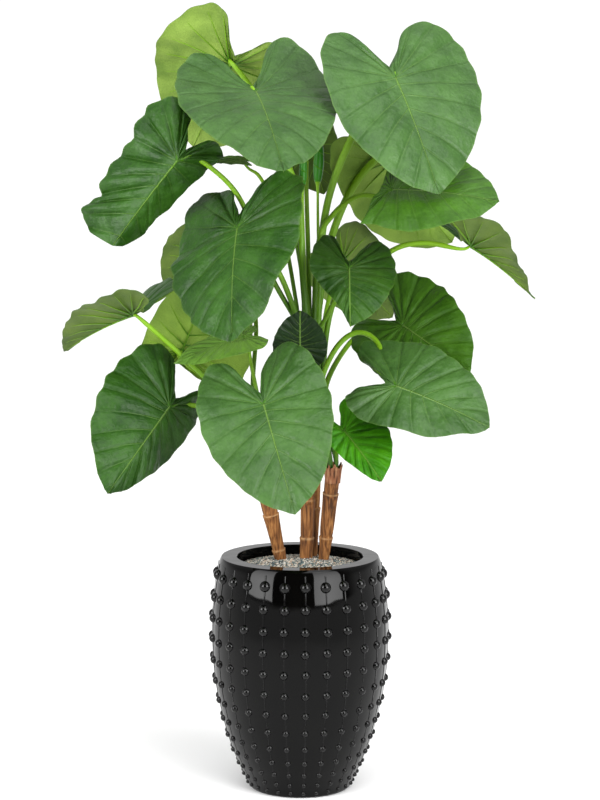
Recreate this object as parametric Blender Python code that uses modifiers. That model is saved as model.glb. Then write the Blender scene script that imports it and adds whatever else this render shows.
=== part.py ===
"""Giant taro in a tall studded pot.

A house plant with heart-shaped leaves on arching stalks, which rise from the tops of four fibrous
trunks. The trunks stand in a bed of fine granules in a glazed, barrel-shaped pot. Metres, +Z up, the
pot's flat underside at z = 0 and its centre at the origin. The plant is seen from -Y.
"""

import math

import bmesh
import bpy
from mathutils import Matrix, Vector

COLLECTION = "giant_taro"
GAP = 0.0003

POT_HEIGHT = 0.543
POT_COLUMNS = 26
# The seam nearest the front stands a little to the right of it
POT_TURN = math.radians(-3.2)
# Outer wall from the foot up to the lip, as radius and height
POT_WALL = [(0.119, 0.004), (0.127, 0.022), (0.138, 0.046), (0.151, 0.075), (0.1635, 0.109),
            (0.175, 0.147), (0.185, 0.188), (0.1945, 0.233), (0.201, 0.282), (0.204, 0.331),
            (0.2045, 0.380), (0.202, 0.429), (0.1965, 0.478), (0.188, 0.530)]
POT_FOOT_RADIUS = 0.112
LIP_OUTER_RADIUS = 0.182
MOUTH_RADIUS = 0.146
# Cavity from the mouth down to the floor, as radius and height
POT_CAVITY = [(0.146, 0.500), (0.175, 0.440), (0.182, 0.340), (0.160, 0.190), (0.105, 0.050),
              (0.090, 0.030)]
# A stud's foot takes this half width out of each cell of the wall, top row first
STUD_HALF_WIDTH = (0.0125, 0.005)
STUD_HEIGHT = (0.010, 0.005)

BED_EDGE_HEIGHT = 0.520
BED_CROWN_HEIGHT = 0.535
TRUNK_DEPTH = 0.06

BLADE_THICKNESS = 0.001
BLADE_ROWS = 12
STALK_TAPER = 0.92
STALK_END = 0.5
STALK_POINTS = 7

# Half of a flat blade, from the bottom of the notch round a lobe to the tip, in lengths from the
# stalk's joint to the tip: across, and along towards the tip
HALF_OUTLINE = [(0, -0.12), (0.11, -0.30), (0.21, -0.505), (0.36, -0.545), (0.50, -0.38),
                (0.565, -0.14), (0.575, 0.10), (0.535, 0.32), (0.455, 0.53), (0.35, 0.70),
                (0.235, 0.83), (0.105, 0.93), (0, 1.0)]
NOTCH = -0.12
# Where the vein to each of those points leaves the midrib
VEIN_ROOTS = [0, 0, 0, 0, 0, 0, 0.03, 0.11, 0.22, 0.36, 0.52, 0.73, 1.0]

# Trunks: foot, a point half way, crown, and the radii at those three
TRUNKS = {
    1: dict(foot=(-0.042, 0.020), middle=(-0.070, 0.005, 0.650), crown=(-0.100, -0.020, 0.795),
            radii=(0.0120, 0.0180, 0.0175), ring=0.0125, mouth=0.0190),
    2: dict(foot=(0.014, 0.030), middle=(0.018, 0.020, 0.720), crown=(0.014, 0.010, 1.020),
            radii=(0.0145, 0.0165, 0.0170), ring=0.0174, mouth=0.0248),
    3: dict(foot=(0.026, 0.075), middle=(0.032, 0.072, 0.650), crown=(0.036, 0.070, 0.880),
            radii=(0.0140, 0.0150, 0.0160), ring=0.0138, mouth=0.0215),
    4: dict(foot=(0.054, 0.020), middle=(0.066, 0.005, 0.640), crown=(0.076, -0.010, 0.745),
            radii=(0.0110, 0.0160, 0.0165), ring=0.0100, mouth=0.0165),
}

# Each leaf: where its stalk joins the blade, its tip, the way its upper face looks, how it is bent,
# the trunk and place round the crown that its stalk stands on, and the points its stalk passes
LEAVES = {
    1: dict(joint=(-0.165, 0.290, 1.678), tip=(-0.265, 0.465, 1.480), faces=(0.23, 0.77, 0.60),
            droop=15, nod=-10, width=1.12, open=0.85, lobes_r=0.78,
            trunk=2, slot=100, stalk=0.0070,
            via=[(0.005, 0.080, 1.200), (-0.045, 0.150, 1.440), (-0.105, 0.250, 1.600)]),
    2: dict(joint=(-0.100, 0.000, 1.610), tip=(-0.035, -0.265, 1.430), faces=(0.04, -0.49, 0.87),
            droop=25, nod=-50, width=0.96, lobes_l=1.2,
            trunk=2, slot=280, stalk=0.0068, via=[(0.005, -0.010, 1.205), (-0.010, 0.000, 1.395)]),
    3: dict(joint=(0.215, -0.020, 1.640), tip=(0.305, -0.180, 1.380), faces=(0.23, -0.78, 0.58),
            droop=15, shear=0.15, lobes_l=0.76, width_l=1.1, width_r=0.93,
            trunk=3, slot=288, stalk=0.0065, stalk_top=0.0082,
            via=[(0.054, 0.050, 1.305), (0.125, 0.040, 1.520)]),
    4: dict(joint=(-0.275, -0.060, 1.455), tip=(-0.427, 0.000, 1.260), faces=(-0.20, -0.97, 0.05),
            droop=15, nod=70, fold_l=-50, fold_r=-15, width_l=0.55, width_r=0.85, pinch_r=-0.4,
            open=1.5, gape_l=0.6, lobes_l=0.5, lobes_r=1.05, shear=0.3, blunt_l=0.10, blunt_r=0.28,
            wave=0.042, waves=5,
            trunk=2, slot=190, stalk=0.0055,
            via=[(-0.010, 0.000, 1.090), (-0.070, -0.010, 1.200), (-0.145, 0.000, 1.380)]),
    5: dict(joint=(-0.140, -0.100, 1.305), tip=(-0.145, -0.300, 1.065), faces=(-0.58, -0.60, 0.55),
            droop=15, lobes_l=0.65, width=1.03, wave=0.03, waves=4, gape_l=0.5, gape_r=0.5,
            trunk=2, slot=235, stalk=0.0058,
            via=[(-0.005, -0.010, 1.090), (-0.045, -0.030, 1.195), (-0.095, -0.040, 1.265)]),
    6: dict(joint=(-0.380, -0.020, 1.105), tip=(-0.560, 0.180, 1.000), faces=(-0.37, 0.19, 0.91),
            droop=10, fold_l=25, fold_r=25, width=0.85, shear=0.2, pinch_l=0.3, lobes=0.7,
            trunk=1, slot=195, stalk=0.0055, via=[(-0.140, -0.020, 0.875), (-0.230, -0.030, 0.975)]),
    7: dict(joint=(-0.275, 0.080, 1.010), tip=(-0.185, 0.200, 1.240), faces=(-0.12, 0.90, -0.42),
            droop=15, width_r=0.6, lobes_l=0.2, lobes_r=0.25,
            trunk=1, slot=135, stalk=0.0050, via=[(-0.150, 0.030, 0.905), (-0.235, 0.055, 0.960)]),
    8: dict(joint=(-0.205, 0.270, 1.225), tip=(-0.310, 0.390, 1.100), faces=(0.24, 0.67, 0.70),
            droop=15,
            trunk=1, slot=75, stalk=0.0050, via=[(-0.110, 0.090, 0.930), (-0.110, 0.220, 1.100)]),
    9: dict(joint=(-0.130, -0.050, 1.055), tip=(-0.285, -0.090, 1.000), faces=(-0.22, -0.33, 0.92),
            droop=10, lobes=0.35, width=0.8, wave=0.01, columns=4,
            trunk=1, slot=15, stalk=0.0042, via=[(-0.095, -0.040, 0.910), (-0.115, -0.050, 1.020)]),
    10: dict(joint=(-0.295, -0.080, 0.900), tip=(-0.425, -0.245, 0.725), faces=(0.29, -0.81, 0.51),
             droop=15, fold_l=-35, width_l=0.55, lobes_l=0.6, lobes_r=0.88, wave=0.03, waves=4,
             trunk=1, slot=255, stalk=0.0055, via=[(-0.120, -0.048, 0.860), (-0.225, -0.018, 0.892)]),
    11: dict(joint=(-0.080, -0.240, 0.925), tip=(-0.010, -0.425, 0.710), faces=(-0.15, -0.78, 0.61),
             droop=15, width=0.88, gape_l=0.4,
             trunk=1, slot=315, stalk=0.0055, via=[(-0.060, -0.090, 0.870), (-0.045, -0.180, 0.925)]),
    12: dict(joint=(0.110, -0.100, 1.215), tip=(0.110, -0.240, 1.095), faces=(-0.02, -0.64, 0.77),
             droop=15, width_r=0.85, lobes_r=1.45, pinch_r=0.85, columns=4,
             trunk=2, slot=325, stalk=0.0048, via=[(0.055, -0.020, 1.090), (0.095, -0.050, 1.175)]),
    13: dict(joint=(0.240, 0.100, 1.070), tip=(0.390, -0.030, 0.970), faces=(-0.49, -0.73, 0.47),
             droop=15, wave=0.03,
             trunk=4, slot=55, stalk=0.0058,
             via=[(0.058, 0.020, 0.855), (0.060, 0.032, 0.935), (0.100, 0.130, 1.003),
                  (0.150, 0.190, 1.045)]),
    14: dict(joint=(0.215, -0.150, 0.955), tip=(0.415, -0.260, 0.875), faces=(-0.08, -0.69, 0.72),
             droop=15, width_r=0.82, lobes_l=1.12, lobes_r=0.6, wave=0.025, waves=4,
             trunk=4, slot=145, stalk=0.0058,
             via=[(0.046, 0.000, 0.855), (0.049, 0.005, 0.950), (0.087, 0.005, 1.031),
                  (0.135, 0.000, 1.062), (0.180, -0.030, 1.035)]),
    15: dict(joint=(0.100, -0.120, 0.850), tip=(0.180, -0.220, 0.750), faces=(-0.01, -0.71, 0.70),
             droop=15, width_r=0.5, columns=4,
             trunk=4, slot=325, stalk=0.0042, via=[(0.085, -0.034, 0.800), (0.090, -0.070, 0.840)]),
    16: dict(joint=(0.210, 0.150, 1.450), tip=(0.365, 0.250, 1.255), faces=(-0.53, 0.85, 0.04),
             droop=15,
             trunk=3, slot=144, stalk=0.0065, stalk_top=0.0086,
             via=[(0.056, 0.088, 1.200), (0.105, 0.080, 1.360), (0.170, 0.105, 1.450)]),
    17: dict(joint=(0.205, -0.080, 1.390), tip=(0.440, -0.160, 1.365), faces=(-0.11, -0.53, 0.84),
             droop=15, pinch_l=-0.4, pinch_r=-0.4, lobes=0.05, width=0.95,
             trunk=2, slot=10, stalk=0.0058,
             via=[(0.042, 0.034, 1.260), (0.076, 0.028, 1.330), (0.130, 0.000, 1.372)]),
    18: dict(joint=(0.390, 0.020, 1.260), tip=(0.555, 0.180, 1.125), faces=(0.57, 0.20, 0.80),
             droop=10, fold_l=25, fold_r=25, width=0.85, shear=-0.25, pinch_l=0.5, pinch_r=0.85,
             trunk=3, slot=0, stalk=0.0060,
             via=[(0.080, 0.065, 1.130), (0.200, 0.040, 1.240), (0.280, 0.030, 1.265)]),
    19: dict(joint=(-0.135, 0.120, 1.455), tip=(-0.220, 0.205, 1.455), faces=(-0.13, 0.03, 0.99),
             droop=15, columns=4,
             trunk=2, slot=145, stalk=0.0044,
             via=[(-0.010, 0.050, 1.135), (-0.045, 0.070, 1.315), (-0.090, 0.095, 1.410)]),
    20: dict(joint=(0.020, 0.250, 1.495), tip=(0.058, 0.300, 1.368), faces=(-0.26, 0.84, 0.48),
             droop=15, width=0.85, columns=4,
             trunk=3, slot=216, stalk=0.0052, via=[(0.020, 0.090, 1.200), (0.015, 0.210, 1.405)]),
    21: dict(joint=(0.000, -0.050, 1.030), tip=(0.000, -0.090, 1.120), faces=(0.01, -0.92, -0.40),
             droop=15, width=1.1, columns=4,
             trunk=4, slot=235, stalk=0.0042, via=[(0.054, -0.028, 0.850), (0.047, -0.032, 0.930)]),
    22: dict(joint=(0.100, 0.220, 1.215), tip=(0.225, 0.310, 1.070), faces=(-0.35, 0.89, 0.28),
             droop=15, width=0.8, lobes=0.6, columns=4,
             trunk=3, slot=72, stalk=0.0048, via=[(0.058, 0.125, 1.080), (0.080, 0.190, 1.170)]),
}

# Rolled young leaves: points up the stalk and spindle, with the radius at each
SPINDLES = {
    1: dict(trunk=3, points=[((0.046, 0.075, 1.090), 0.004), ((0.042, 0.080, 1.280), 0.0035),
                             ((0.041, 0.080, 1.385), 0.0035), ((0.041, 0.080, 1.410), 0.009),
                             ((0.043, 0.080, 1.445), 0.012), ((0.045, 0.080, 1.480), 0.009),
                             ((0.046, 0.080, 1.505), 0.003), ((0.046, 0.080, 1.530), 0.0015)]),
    2: dict(trunk=2, points=[((0.014, 0.020, 1.120), 0.004), ((0.008, 0.025, 1.280), 0.0035),
                             ((0.006, 0.025, 1.380), 0.0035), ((0.006, 0.025, 1.405), 0.008),
                             ((0.007, 0.025, 1.430), 0.009), ((0.008, 0.025, 1.460), 0.007),
                             ((0.009, 0.025, 1.480), 0.0015)]),
}

MATERIALS = {
    "pot_glaze": dict(color=(0.008, 0.008, 0.009, 1), roughness=0.12, metallic=0),
    "granules": dict(color=(0.36, 0.36, 0.33, 1), roughness=0.85, metallic=0),
    "trunk_bark": dict(color=(0.22, 0.12, 0.06, 1), roughness=0.8, metallic=0),
    "dry_sheath": dict(color=(0.36, 0.19, 0.10, 1), roughness=0.8, metallic=0),
    "leaf_green": dict(color=(0.07, 0.17, 0.04, 1), roughness=0.45, metallic=0),
    "young_leaf": dict(color=(0.03, 0.15, 0.02, 1), roughness=0.4, metallic=0),
}


def spline(points, at):
    """A smooth value between a list's entries, which it passes through at whole numbers."""
    last = len(points) - 1
    at = min(max(at, 0), last)
    i = min(int(at), last - 1)
    f = at - i
    a, b, c, d = points[max(i - 1, 0)], points[i], points[i + 1], points[min(i + 2, last)]
    return 0.5 * (2 * b + (c - a) * f + (2 * a - 5 * b + 4 * c - d) * f ** 2
                  + (3 * b - a - 3 * c + d) * f ** 3)


def bent(length, degrees):
    """How far a strip of a length reaches forward and drops if it bends by degrees over one length."""
    bend = math.radians(degrees) or 1e-4
    return math.sin(bend * length) / bend, (math.cos(bend * length) - 1) / bend, bend * length


def blade_local(leaf, row, across):
    """A point of a blade whose joint is the origin and whose length is about 1: side, tip, up.

    Rows run out along the veins, from 0 at the notch to 12 at the tip; across goes from -1 at the
    left margin to 1 at the right one, as seen from above with the tip pointing away.
    """
    side = "r" if across > 0 else "l"
    sign = 1 if across > 0 else -1
    a = abs(across)
    root = spline(VEIN_ROOTS, row)
    reach = spline([p[0] for p in HALF_OUTLINE], row)
    edge = spline([p[1] for p in HALF_OUTLINE], row)
    back = min(max(-edge / 0.5, 0), 1)
    reach *= leaf.get("width", 1) * leaf.get("width_" + side, 1)
    reach *= 1 - leaf.get("pinch_" + side, 0) * max(edge, 0)
    reach *= 1 + (leaf.get("open", 1) - 1) * back
    reach *= 1 + (leaf.get("gape_" + side, 1) - 1) * min(max(2.2 - row, 0), 1)
    reach += leaf.get("blunt_" + side, 0) * max(1 - ((row - 11.3) / 2.6) ** 2, 0)
    if edge < NOTCH:
        edge = NOTCH + (edge - NOTCH) * leaf.get("lobes", 1) * leaf.get("lobes_" + side, 1)
    s = a * reach
    t = root + a * (edge - root) + leaf.get("shear", 0) * sign * s
    t -= 0.10 * a * (1 - a) * min(root * 4, 1) * (1 - root)
    fold = math.radians(leaf.get("fold_" + side, 0))
    x = sign * s * math.cos(fold)
    z = s * math.sin(fold)
    phase = leaf.get("phase", 0) + (0 if sign > 0 else 0.37)
    wave = math.sin(2 * math.pi * (row / 12 * leaf.get("waves", 3) + phase))
    z += leaf.get("wave", 0.02) * a ** 1.6 * wave * min((12 - row) / 2, 1) * min(row / 1.5, 1)
    forward, drop, turn = bent(t, leaf.get("droop", 15) if t >= 0 else leaf.get("nod", 0))
    return Vector((x, forward + z * math.sin(turn), drop + z * math.cos(turn)))


def blade_frame(leaf):
    """The blade's length and a function that places its local points in the room."""
    joint = Vector(leaf["joint"])
    chord = Vector(leaf["tip"]) - joint
    tip = blade_local(leaf, 12, 0)
    length = chord.length / math.hypot(tip.y, tip.z)
    along = chord.normalized()
    up = Vector(leaf["faces"])
    up = (up - along * up.dot(along)).normalized()
    right = along.cross(up)
    lean = math.atan2(tip.z, tip.y)
    ahead = along * math.cos(lean) - up * math.sin(lean)
    above = up * math.cos(lean) + along * math.sin(lean)

    def place(p):
        return joint + (right * p.x + ahead * p.y + above * p.z) * length

    return place, along, up


def smooth_path(points, count):
    """The given number of points, evenly spread along a smooth curve through the points."""
    points = [Vector(p) for p in points]
    fine = [spline(points, i * (len(points) - 1) / 200) for i in range(201)]
    lengths = [0]
    for a, b in zip(fine, fine[1:]):
        lengths.append(lengths[-1] + (b - a).length)
    path = []
    for k in range(count):
        want = lengths[-1] * k / (count - 1)
        i = next(i for i, reached in enumerate(lengths) if reached >= want - 1e-9)
        path.append(fine[i])
    return path


def make_material(name):
    look = MATERIALS[name]
    material = bpy.data.materials.new(name)
    material.use_nodes = True
    shader = material.node_tree.nodes["Principled BSDF"]
    shader.inputs["Base Color"].default_value = look["color"]
    shader.inputs["Roughness"].default_value = look["roughness"]
    shader.inputs["Metallic"].default_value = look["metallic"]
    return material


def add_mesh(name, bm, material):
    """Turn a bmesh into a named object in the part's collection."""
    bmesh.ops.recalc_face_normals(bm, faces=bm.faces)
    mesh = bpy.data.meshes.new(name)
    bm.to_mesh(mesh)
    bm.free()
    obj = bpy.data.objects.new(name, mesh)
    mesh.materials.append(material)
    part.objects.link(obj)
    return obj


def add_tube(name, points, radii, material, resolution=1):
    """A round bar through the points, with closed ends, made a mesh."""
    curve = bpy.data.curves.new(name, "CURVE")
    curve.dimensions = "3D"
    curve.bevel_depth = 1
    curve.bevel_resolution = resolution
    curve.use_fill_caps = True
    curve.twist_mode = "MINIMUM"
    line = curve.splines.new("POLY")
    line.points.add(len(points) - 1)
    for place, co, radius in zip(line.points, points, radii):
        place.co = (*co, 1)
        place.radius = radius
    bar = bpy.data.objects.new(name + "_path", curve)
    bpy.context.scene.collection.objects.link(bar)
    bpy.context.view_layer.update()
    mesh = bpy.data.meshes.new_from_object(bar.evaluated_get(bpy.context.evaluated_depsgraph_get()))
    bpy.data.objects.remove(bar)
    bm = bmesh.new()
    bm.from_mesh(mesh)
    bpy.data.meshes.remove(mesh)
    bmesh.ops.remove_doubles(bm, verts=bm.verts, dist=1e-5)
    bmesh.ops.triangulate(bm, faces=bm.faces)
    return add_mesh(name, bm, material)


def boolean(obj, other, operation, solver="EXACT"):
    """Cut or join with another object, apply it, and remove that other object."""
    modifier = obj.modifiers.new(operation, "BOOLEAN")
    modifier.operation = operation
    modifier.solver = solver
    modifier.object = other
    bpy.context.view_layer.update()
    cut = bpy.data.meshes.new_from_object(obj.evaluated_get(bpy.context.evaluated_depsgraph_get()))
    obj.modifiers.clear()
    obj.data = cut
    bpy.data.objects.remove(other)


for leftover in list(bpy.data.objects):
    bpy.data.objects.remove(leftover)
part = bpy.data.collections.new(COLLECTION)
bpy.context.scene.collection.children.link(part)
materials = {name: make_material(name) for name in MATERIALS}


# Pot: one turned vessel, whose wall is divided into a cell for each stud
outline = [(0, 0), (POT_FOOT_RADIUS, 0)] + POT_WALL
outline += [(LIP_OUTER_RADIUS, POT_HEIGHT), (MOUTH_RADIUS, POT_HEIGHT)]
outline += POT_CAVITY + [(0, POT_CAVITY[-1][1])]
bm = bmesh.new()
verts = [bm.verts.new((r, 0, z)) for r, z in outline]
edges = [bm.edges.new(pair) for pair in zip(verts, verts[1:])]
half_cell = math.pi / POT_COLUMNS
bmesh.ops.rotate(bm, verts=bm.verts, matrix=Matrix.Rotation(half_cell + POT_TURN, 3, "Z"))
bmesh.ops.spin(bm, geom=verts + edges, axis=(0, 0, 1), steps=POT_COLUMNS, angle=2 * math.pi)
bmesh.ops.remove_doubles(bm, verts=bm.verts, dist=1e-4)
bmesh.ops.recalc_face_normals(bm, faces=bm.faces)
wall_rows = list(zip(POT_WALL, POT_WALL[1:]))
for n, ((r0, z0), (r1, z1)) in enumerate(wall_rows):
    top = n / (len(wall_rows) - 1)
    half = STUD_HALF_WIDTH[1] + (STUD_HALF_WIDTH[0] - STUD_HALF_WIDTH[1]) * top
    height = STUD_HEIGHT[1] + (STUD_HEIGHT[0] - STUD_HEIGHT[1]) * top
    rim = math.hypot(r1 - r0, z1 - z0)
    narrow = min(rim, 2 * r0 * math.sin(half_cell))
    cells = []
    for face in bm.faces:
        heights = sorted(v.co.z for v in face.verts)
        centre = face.calc_center_median()
        outside = face.normal.x * centre.x + face.normal.y * centre.y > 0
        between = abs(heights[0] - z0) < 1e-5 and abs(heights[-1] - z1) < 1e-5
        if outside and between and len(heights) == 4:
            cells.append(face)
    bmesh.ops.inset_individual(bm, faces=cells, thickness=narrow / 2 - half, use_even_offset=True)
    bmesh.ops.poke(bm, faces=cells, offset=height)
bmesh.ops.triangulate(bm, faces=bm.faces)
add_mesh("pot", bm, materials["pot_glaze"])


# Granules: the fill, which is heaped a little round the trunks and takes each trunk in a hole
bm = bmesh.new()
fill = [(0, BED_CROWN_HEIGHT), (0.07, BED_CROWN_HEIGHT - 0.002), (MOUTH_RADIUS - GAP, BED_EDGE_HEIGHT)]
fill += [(r - 2 * GAP, z) for r, z in POT_CAVITY[:-1]]
fill += [(POT_CAVITY[-1][0] - 2 * GAP, POT_CAVITY[-1][1] + GAP), (0, POT_CAVITY[-1][1] + GAP)]
verts = [bm.verts.new((r, 0, z)) for r, z in fill]
edges = [bm.edges.new(pair) for pair in zip(verts, verts[1:])]
bmesh.ops.rotate(bm, verts=bm.verts, matrix=Matrix.Rotation(half_cell + POT_TURN, 3, "Z"))
bmesh.ops.spin(bm, geom=verts + edges, axis=(0, 0, 1), steps=POT_COLUMNS, angle=2 * math.pi)
bmesh.ops.remove_doubles(bm, verts=bm.verts, dist=1e-4)
bmesh.ops.triangulate(bm, faces=bm.faces)
bed = add_mesh("granules", bm, materials["granules"])


# Trunks: fibrous canes with a ring at each old leaf scar, and a flat crown that the stalks stand on
for number, trunk in TRUNKS.items():
    foot = Vector((*trunk["foot"], BED_EDGE_HEIGHT))
    middle = Vector(trunk["middle"])
    crown = Vector(trunk["crown"])
    buried = foot - (middle - foot).normalized() * TRUNK_DEPTH
    path = smooth_path([foot, middle, crown - Vector((0, 0, 0.04))], 10)
    low, mid, high = trunk["radii"]
    points = [buried] + path + [crown]
    radii = [low, low] + [spline([low, mid, high], 2 * i / 9) for i in range(1, 10)]
    radii.append(trunk["mouth"] + 0.0022)
    for i in (3, 5, 7, 9):
        radii[i] += 0.0012
    add_tube(f"trunk_{number}", points, radii, materials["trunk_bark"], resolution=2)
    deeper = buried + (buried - foot).normalized() * GAP
    above = path[1]
    hole = add_tube("hole", [deeper, buried, foot, above],
                    [low + GAP, low + GAP, low + GAP, radii[2] + GAP], materials["granules"], resolution=2)
    boolean(bed, hole, "DIFFERENCE")


# Sheaths: the dry, torn collar of old leaf bases round each crown
SHEATH_TEETH = 8
for number, trunk in TRUNKS.items():
    crown = Vector(trunk["crown"])
    bm = bmesh.new()
    inner = trunk["mouth"]
    bmesh.ops.create_grid(bm, x_segments=2 * SHEATH_TEETH, y_segments=1, size=0.5)
    for v in bm.verts:
        turn = (v.co.x + 0.5) * 2 * SHEATH_TEETH
        tooth = round(turn) % 2
        angle = turn * math.pi / SHEATH_TEETH + 0.3 * number
        top = v.co.y > 0
        height = (0.012 + 0.004 * math.sin(2.3 * number + 5 * angle)) * tooth + 0.006 if top else 0
        radius = inner + 0.0008 + 0.25 * height
        v.co = crown + Vector((radius * math.cos(angle), radius * math.sin(angle), height + GAP))
    bmesh.ops.remove_doubles(bm, verts=bm.verts, dist=1e-5)
    bmesh.ops.triangulate(bm, faces=bm.faces)
    sheath = add_mesh(f"sheath_{number}", bm, materials["dry_sheath"])
    shell = sheath.modifiers.new("thickness", "SOLIDIFY")
    shell.thickness = 0.0012
    shell.offset = 0


# Leaves: a blade that follows its veins, made one with the stalk that carries it
for number, leaf in LEAVES.items():
    name = f"leaf_{number:02d}"
    place, along, up = blade_frame(leaf)
    bm = bmesh.new()
    bmesh.ops.create_grid(bm, x_segments=BLADE_ROWS, y_segments=leaf.get("columns", 6), size=0.5)
    for v in bm.verts:
        v.co = place(blade_local(leaf, (v.co.x + 0.5) * 12, v.co.y * 2))
    bmesh.ops.remove_doubles(bm, verts=bm.verts, dist=1e-4)
    bmesh.ops.triangulate(bm, faces=bm.faces)
    blade = add_mesh(name, bm, materials["leaf_green"])
    shell = blade.modifiers.new("thickness", "SOLIDIFY")
    shell.thickness = BLADE_THICKNESS
    shell.offset = 0
    bpy.context.view_layer.update()
    solid = bpy.data.meshes.new_from_object(blade.evaluated_get(bpy.context.evaluated_depsgraph_get()))
    blade.modifiers.clear()
    blade.data = solid

    trunk = TRUNKS[leaf["trunk"]]
    turn = math.radians(leaf["slot"])
    foot = Vector(trunk["crown"]) + Vector((math.cos(turn), math.sin(turn), 0)) * trunk["ring"]
    foot.z += GAP
    joint = Vector(leaf["joint"])
    points = [foot, foot + Vector((0, 0, 0.03))] + [Vector(p) for p in leaf["via"]]
    points += [joint - up * 0.022 - along * 0.022]
    path = [foot] + smooth_path(points[1:], STALK_POINTS) + [joint + up * 0.001]
    foot_radius = leaf["stalk"]
    top_radius = leaf.get("stalk_top", STALK_TAPER * foot_radius)
    last = len(path) - 1
    radii = [foot_radius + (top_radius - foot_radius) * i / last for i in range(last + 1)]
    radii[last] *= STALK_END
    stalk = add_tube("stalk", path, radii, materials["leaf_green"])
    boolean(blade, stalk, "UNION", "MANIFOLD")


# Rolled young leaves, standing in the middle of two crowns
for number, spindle in SPINDLES.items():
    foot = Vector(TRUNKS[spindle["trunk"]]["crown"]) + Vector((0, 0, GAP))
    points = [foot, foot + Vector((0, 0, 0.03))] + [Vector(p) for p, r in spindle["points"]]
    radii = [0.004, 0.004] + [r for p, r in spindle["points"]]
    add_tube(f"young_leaf_{number}", points, radii, materials["young_leaf"])
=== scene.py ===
"""Giant taro in a tall studded pot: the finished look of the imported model."""
import math
import random

import bmesh
import bpy
from mathutils import Matrix, Vector, noise


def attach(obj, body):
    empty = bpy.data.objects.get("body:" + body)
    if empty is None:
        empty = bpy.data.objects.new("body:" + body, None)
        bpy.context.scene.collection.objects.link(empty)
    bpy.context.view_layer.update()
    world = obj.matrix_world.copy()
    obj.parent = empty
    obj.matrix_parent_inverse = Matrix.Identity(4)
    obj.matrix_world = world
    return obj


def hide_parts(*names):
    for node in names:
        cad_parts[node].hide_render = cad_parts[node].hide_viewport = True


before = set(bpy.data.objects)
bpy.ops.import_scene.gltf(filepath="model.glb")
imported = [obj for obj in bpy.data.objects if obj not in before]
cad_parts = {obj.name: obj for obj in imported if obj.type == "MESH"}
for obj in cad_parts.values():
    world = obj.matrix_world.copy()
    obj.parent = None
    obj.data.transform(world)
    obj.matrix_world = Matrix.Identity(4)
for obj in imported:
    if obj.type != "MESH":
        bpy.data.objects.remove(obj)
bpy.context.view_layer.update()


# Pot
# A slip-cast barrel with a flat lip, a narrow foot and 26 columns of pressed-on studs, which a thin
# raised seam joins from lip to foot. Stoneware under a thick glossy black glaze; it stands on its foot.
POT_HEIGHT = 0.543
POT_COLUMNS = 26
# The seam nearest the front stands a little to the right of it
POT_TURN = math.radians(-3.2)
# Outer wall from the foot up to the lip, as radius and height
POT_WALL = [(0.119, 0.004), (0.127, 0.022), (0.138, 0.046), (0.151, 0.075), (0.1635, 0.109),
            (0.175, 0.147), (0.185, 0.188), (0.1945, 0.233), (0.201, 0.282), (0.204, 0.331),
            (0.2045, 0.380), (0.202, 0.429), (0.1965, 0.478), (0.188, 0.530)]
POT_FOOT_RADIUS = 0.112
LIP_OUTER_RADIUS = 0.182
MOUTH_RADIUS = 0.146
# Cavity from the mouth down to the floor, as radius and height
POT_CAVITY = [(0.146, 0.500), (0.175, 0.440), (0.182, 0.340), (0.160, 0.190), (0.105, 0.050),
              (0.090, 0.030)]
# A stud's foot takes this half width out of each cell of the wall, top row first
STUD_HALF_WIDTH = (0.0125, 0.005)
STUD_HEIGHT = (0.010, 0.005)
# Steps round the pot, and steps up its wall between two entries of POT_WALL
POT_STEPS = 208
WALL_CUTS = 4
SEAM_RADIUS = 0.0020
SEAM_SIDES = 6
# A dome sits this share of its height in the wall. It is made this much larger than the sizes above
# and this much narrower, and in the top row it may be this far off its place, upwards and sideways
STUD_SINK = 0.25
STUD_SWELL = 1.12
STUD_NARROWING = 0.94
STUD_SHIFT = (0.0016, 0.0014)
GLAZE_BLACK = (0.0004, 0.0004, 0.0004, 1)
GLAZE_THIN = (0.0014, 0.0013, 0.0011, 1)


class Socket:
    """An output of a finish's nodes; arithmetic on it adds Math nodes."""

    def __init__(self, finish, link):
        self.finish = finish
        self.link = link

    def math(self, operation, a, b=0.0, clamp=False):
        settings = {"operation": operation, "use_clamp": clamp}
        return self.finish.node("ShaderNodeMath", settings, {0: a, 1: b})

    def __add__(self, other):
        return self.math("ADD", self, other)

    def __radd__(self, other):
        return self.math("ADD", other, self)

    def __sub__(self, other):
        return self.math("SUBTRACT", self, other)

    def __rsub__(self, other):
        return self.math("SUBTRACT", other, self)

    def __mul__(self, other):
        return self.math("MULTIPLY", self, other)

    def __rmul__(self, other):
        return self.math("MULTIPLY", other, self)

    def __truediv__(self, other):
        return self.math("DIVIDE", self, other)

    def __abs__(self):
        return self.math("ABSOLUTE", self)

    def at_least(self, other):
        return self.math("MAXIMUM", self, other)

    def fraction(self):
        return self.math("FRACT", self)

    def clamped(self):
        return self.math("ADD", self, 0.0, clamp=True)


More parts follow.
